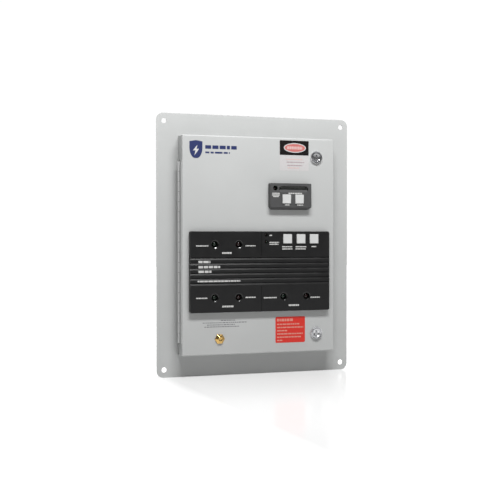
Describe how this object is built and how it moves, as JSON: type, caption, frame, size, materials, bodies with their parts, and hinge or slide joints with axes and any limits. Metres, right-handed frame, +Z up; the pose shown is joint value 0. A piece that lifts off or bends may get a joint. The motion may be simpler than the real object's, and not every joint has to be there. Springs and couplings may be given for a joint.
{
  "type": "whole house surge protector",
  "caption": "Flush-mounted steel surge protector cabinet with wall flange, hinged locking door, status panel, surge counter, bolted surge modules and wiring terminals.",
  "frame": {"origin": "centre of the wall flange's back face, which lies on the wall", "axes": "+X to the viewer's right, +Y into the wall, +Z up; the door faces -Y"},
  "size_m": [0.3874, 0.1144, 0.489],
  "materials": {
    "grey_enamel": "light grey powder coat, satin",
    "zinc_steel": "zinc plated",
    "hinge_steel": "plain rolled steel",
    "module_plastic": "moulded, fine texture",
    "varistor_coat": "blue epoxy coat",
    "copper": "tinned at the joints",
    "insulator": "moulded cream",
    "brass": "bright",
    "circuit_board": "solder mask",
    "nylon": "natural",
    "tinned_clip": "tinned spring metal",
    "fuse_ceramic": "white body",
    "black_potting": "black",
    "capacitor_case": "ochre box",
    "ribbon_jacket": "grey ribbon with one red edge",
    "foam_rubber": "closed cell foam",
    "black_moulding": "semi gloss moulding",
    "green_lens": "tinted lens, unlit",
    "red_lens": "tinted lens, unlit",
    "grey_moulding": "fine texture",
    "clear_window": "clear",
    "display_glass": "blank liquid crystal",
    "chrome": "polished",
    "label_film": "printed film, wording left out",
    "red_label_film": "printed film, wording left out",
    "white_key": "satin white"
  },
  "bodies": {
    "cabinet": {"wall_flange": "grey_enamel", "back_box": "grey_enamel", "box_ends": "grey_enamel", "door_rim": "grey_enamel", "sub_panel": "zinc_steel", "panel_standoffs": "zinc_steel", "panel_nuts": "zinc_steel", "surge_module_a": "module_plastic", "surge_module_b": "module_plastic", "surge_module_c": "module_plastic", "module_screws": "zinc_steel", "varistor_discs": "varistor_coat", "module_tabs": "copper", "busbars": "copper", "busbar_supports": "insulator", "terminal_block": "insulator", "clamp_screws": "zinc_steel", "ground_bar": "brass", "interface_board": "circuit_board", "interface_spacers": "nylon", "fuse_clips": "tinned_clip", "fuse_links": "fuse_ceramic", "control_transformer": "black_potting", "filter_capacitors": "capacitor_case", "interface_header": "black_potting", "hinge_box_leaf": "hinge_steel", "hinge_pin": "hinge_steel", "ribbon_harness": "ribbon_jacket"},
    "door": {"door_pan": "grey_enamel", "door_gasket": "foam_rubber", "hinge_door_leaf": "hinge_steel", "status_panel": "black_moulding", "status_panel_nuts": "zinc_steel", "monitor_board": "circuit_board", "board_spacers": "nylon", "ready_lights": "green_lens", "replace_lights": "red_lens", "service_lights": "red_lens", "tact_switches": "black_potting", "alarm_buzzer": "black_potting", "board_components": "black_potting", "counter_housing": "grey_moulding", "counter_window": "clear_window", "counter_display": "display_glass", "counter_board": "circuit_board", "lock_barrels": "chrome", "lock_nuts": "zinc_steel", "door_ground_bolt": "brass", "door_ground_nut": "brass", "upper_label": "label_film", "lower_label": "red_label_film"},
    "upper_lock": {"upper_lock_plug": "chrome", "upper_lock_cam": "zinc_steel"},
    "lower_lock": {"lower_lock_plug": "chrome", "lower_lock_cam": "zinc_steel"},
    "enable_key": {"enable_button": "white_key"},
    "silence_key": {"silence_button": "white_key"},
    "test_key": {"test_button": "white_key"},
    "counter_left_key": {"counter_left_button": "white_key"},
    "counter_right_key": {"counter_right_button": "white_key"}
  },
  "joints": [
    {"name": "door_hinge", "type": "hinge", "parent": "cabinet", "child": "door", "pos_m": [-0.1549, -0.0156, 0], "axis": [0, 0, -1], "range_deg": [0, 120], "deforming": ["ribbon_harness"]},
    {"name": "upper_lock_turn", "type": "hinge", "parent": "door", "child": "upper_lock", "pos_m": [0.115, -0.02, 0.168], "axis": [0, -1, 0], "range_deg": [0, 90]},
    {"name": "lower_lock_turn", "type": "hinge", "parent": "door", "child": "lower_lock", "pos_m": [0.115, -0.02, -0.168], "axis": [0, 1, 0], "range_deg": [0, 90]},
    {"name": "enable_press", "type": "slide", "parent": "door", "child": "enable_key", "axis": [0, 1, 0], "range_m": [0, 0.0012], "stiffness_N_per_m": 300, "springref_m": -0.001},
    {"name": "silence_press", "type": "slide", "parent": "door", "child": "silence_key", "axis": [0, 1, 0], "range_m": [0, 0.0012], "stiffness_N_per_m": 300, "springref_m": -0.001},
    {"name": "test_press", "type": "slide", "parent": "door", "child": "test_key", "axis": [0, 1, 0], "range_m": [0, 0.0012], "stiffness_N_per_m": 300, "springref_m": -0.001},
    {"name": "counter_left_press", "type": "slide", "parent": "door", "child": "counter_left_key", "axis": [0, 1, 0], "range_m": [0, 0.0012], "stiffness_N_per_m": 300, "springref_m": -0.001},
    {"name": "counter_right_press", "type": "slide", "parent": "door", "child": "counter_right_key", "axis": [0, 1, 0], "range_m": [0, 0.0012], "stiffness_N_per_m": 300, "springref_m": -0.001}
  ]
}
